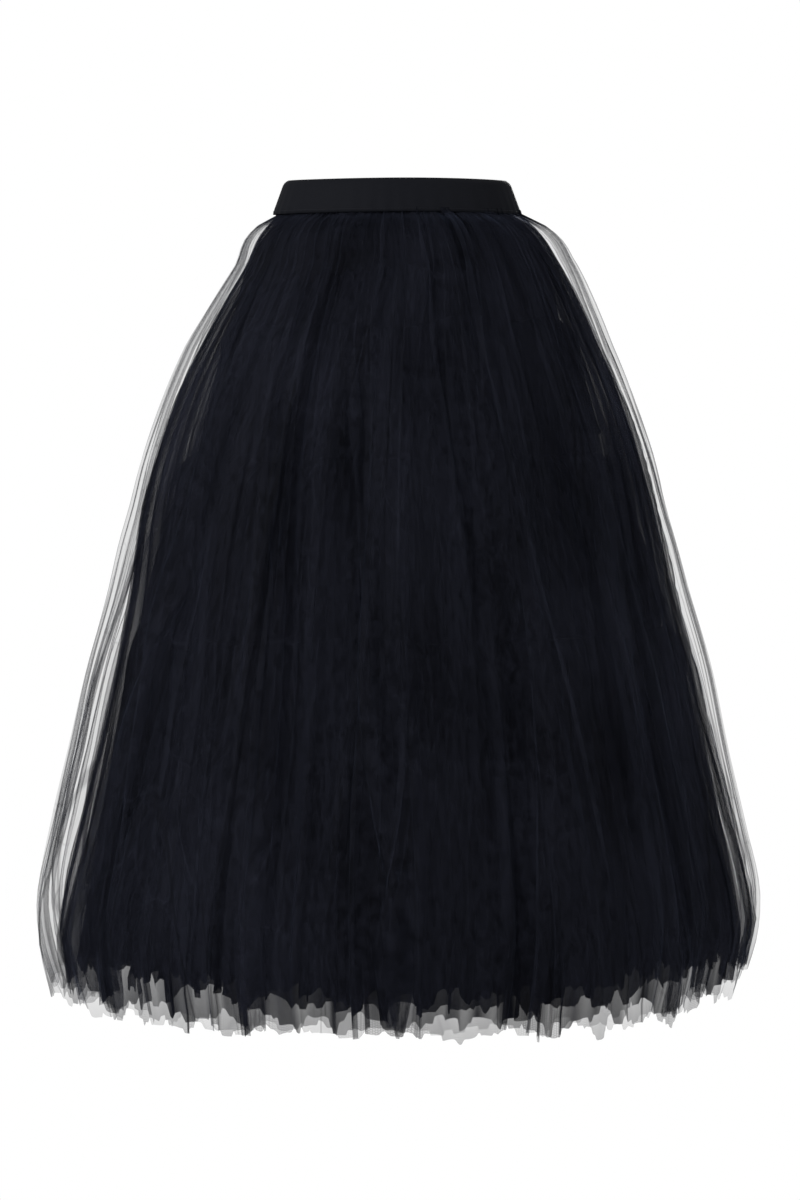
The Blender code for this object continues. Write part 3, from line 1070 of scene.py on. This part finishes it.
OVERLAYS = (
    # name, sections, fold sizes, ply, cloth, replaced node
    (
        "inner_tulle",
        UNDER_OVALS,
        (
            FoldSize(120, 0.0010, 0.0014, 0.0010, 0.0011, 0.9, 2.0, 510),
            FoldSize(44, 0.0006, 0.0020, 0.0032, 0.0038, 0.6, 2.0, 520),
            FoldSize(21, 0.0000, 0.0018, 0.0050, 0.0064, 0.5, 0.9, 530),
        ),
        Ply(
            columns=520, rows=50, crowding=1.3, hem=0.7395, offset=-0.005, shift=UNDER_SHIFT,
            follows=0.9, slant=0.5, points=50, reach=0.012, seed=540, cut=(1.12, 0.715),
            laps=CREASES[::3],
        ),
        inner_net,
        None,
    ),
    (
        "under_tulle",
        UNDER_OVALS,
        (
            FoldSize(96, 0.0020, 0.0018, 0.0006, 0.0007, 0.9, 2.2, 560),
            FoldSize(32, 0.0004, 0.0020, 0.0034, 0.0042, 0.5, 2.2, 565),
            FoldSize(19, 0.0000, 0.0020, 0.0054, 0.0070, 0.5, 0.9, 570),
        ),
        Ply(
            columns=800, rows=58, crowding=1.3, hem=0.7465, offset=0.001, shift=UNDER_SHIFT,
            follows=1.0, slant=0.6, points=46, reach=0.011, seed=580, cut=(1.30, 0.725),
            laps=(*CREASES, *chance_creases(56, 585, *LAPPED), *chance_creases(24, 590, *PINCHED)),
        ),
        under_net,
        "under_overlay",
    ),
    (
        "outer_tulle",
        OUTER_OVALS,
        (
            FoldSize(96, 0.0022, 0.0016, 0.0003, 0.0003, 0.9, 2.2, 620),
            FoldSize(24, 0.0004, 0.0020, 0.0028, 0.0036, 0.3, 2.4, 625),
            FoldSize(12, 0.0000, 0.0016, 0.0040, 0.0058, 0.2, 0.9, 630),
        ),
        Ply(
            columns=900, rows=62, crowding=1.3, hem=0.7440, offset=0.0, shift=OUTER_SHIFT,
            follows=1.0, slant=0.7, points=40, reach=0.010, seed=640, cut=(1.34, 0.735),
            laps=(*CREASES, *chance_creases(34, 645, *LAPPED), *chance_creases(34, 650, *PINCHED)),
        ),
        outer_net,
        "outer_overlay",
    ),
)
HALVES = (
    ("front", (-math.pi / 2, math.pi / 2)),
    ("back", (math.pi / 2, 1.5 * math.pi)),
)

for name, ovals, sizes, ply, cloth, node in OVERLAYS:
    for half, span in HALVES:
        made = cloth_tube(f"{name}_{half}", ovals, sizes, ply._replace(span=span, closed=False), cloth)
        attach(made, BODY)
        if node:
            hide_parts(f"{node}_{half}")


# Studio
# A white floor far below the hem, a white room, and soft light from in front and behind.
ROOM_LIGHT = 0.24
FLOOR_SIZE = 14.0
FLOOR_DROP = 1.05
Lamp = namedtuple("Lamp", "name place size power shadows")
LAMPS = (
    Lamp("key_light", (-2.6, -2.0, 1.4), 1.0, 74.0, True),
    Lamp("fill_light", (2.6, -1.8, 0.4), 1.8, 20.0, False),
    Lamp("back_light", (0.2, 3.3, 1.0), 1.4, 90.0, True),
)
LAMPS_AIM_DROP = 0.35
# The camera stands this far in front, where the frame is this high at the skirt.
EYE_DISTANCE = 3.2
FRAME_HEIGHT = 1.1136
SENSOR_HEIGHT = 36.0
EYE_DROP = 0.2455
EYE_ASIDE = 0.0028
EYE_DOWN_DEG = 2.54


def studio():
    scene = bpy.context.scene
    scene.view_settings.view_transform = "Standard"
    scene.cycles.transparent_max_bounces = 24
    scene.cycles.max_bounces = 1
    scene.cycles.diffuse_bounces = 0

    world = bpy.data.worlds.new("white_room")
    scene.world = world
    world.use_nodes = True
    nodes = world.node_tree.nodes
    link = world.node_tree.links.new
    seen = nodes["Background"]
    seen.inputs["Color"].default_value = (1.0, 1.0, 1.0, 1.0)
    seen.inputs["Strength"].default_value = 1.0
    lit = nodes.new("ShaderNodeBackground")
    lit.inputs["Color"].default_value = (1.0, 1.0, 1.0, 1.0)
    lit.inputs["Strength"].default_value = ROOM_LIGHT
    ray = nodes.new("ShaderNodeLightPath")
    either = nodes.new("ShaderNodeMixShader")
    link(ray.outputs["Is Camera Ray"], either.inputs["Fac"])
    link(lit.outputs["Background"], either.inputs[1])
    link(seen.outputs["Background"], either.inputs[2])
    link(either.outputs["Shader"], nodes["World Output"].inputs["Surface"])

    bpy.ops.mesh.primitive_plane_add(size=FLOOR_SIZE, location=(0.0, 0.0, -FLOOR_DROP))
    floor = bpy.context.object
    floor.name = "studio_floor"
    paper = bpy.data.materials.new("white_paper")
    paper.use_nodes = True
    shader = paper.node_tree.nodes["Principled BSDF"]
    shader.inputs["Base Color"].default_value = (0.0, 0.0, 0.0, 1.0)
    shader.inputs["Roughness"].default_value = 1.0
    shader.inputs["Specular IOR Level"].default_value = 0.0
    shader.inputs["Emission Color"].default_value = (1.0, 1.0, 1.0, 1.0)
    seen_white = paper.node_tree.nodes.new("ShaderNodeLightPath")
    glow = paper.node_tree.nodes.new("ShaderNodeMapRange")
    glow.inputs["To Min"].default_value = 0.45
    glow.inputs["To Max"].default_value = 1.0
    paper.node_tree.links.new(seen_white.outputs["Is Camera Ray"], glow.inputs["Value"])
    paper.node_tree.links.new(glow.outputs["Result"], shader.inputs["Emission Strength"])
    floor.data.materials.append(paper)

    for lamp in LAMPS:
        light = bpy.data.lights.new(lamp.name, "AREA")
        light.shape = "DISK"
        light.size = lamp.size
        light.energy = lamp.power
        light.use_shadow = lamp.shadows
        holder = bpy.data.objects.new(lamp.name, light)
        scene.collection.objects.link(holder)
        holder.location = lamp.place
        aim = Vector((0.0, 0.0, -LAMPS_AIM_DROP)) - holder.location
        holder.rotation_euler = aim.to_track_quat("-Z", "Y").to_euler()

    camera = bpy.data.cameras.new("camera")
    camera.sensor_fit = "VERTICAL"
    camera.sensor_height = SENSOR_HEIGHT
    camera.lens = SENSOR_HEIGHT * EYE_DISTANCE / FRAME_HEIGHT
    eye = bpy.data.objects.new("camera", camera)
    scene.collection.objects.link(eye)
    eye.location = (EYE_ASIDE, -EYE_DISTANCE, -EYE_DROP)
    eye.rotation_euler = (math.radians(90.0 - EYE_DOWN_DEG), 0.0, 0.0)
    scene.camera = eye


studio()
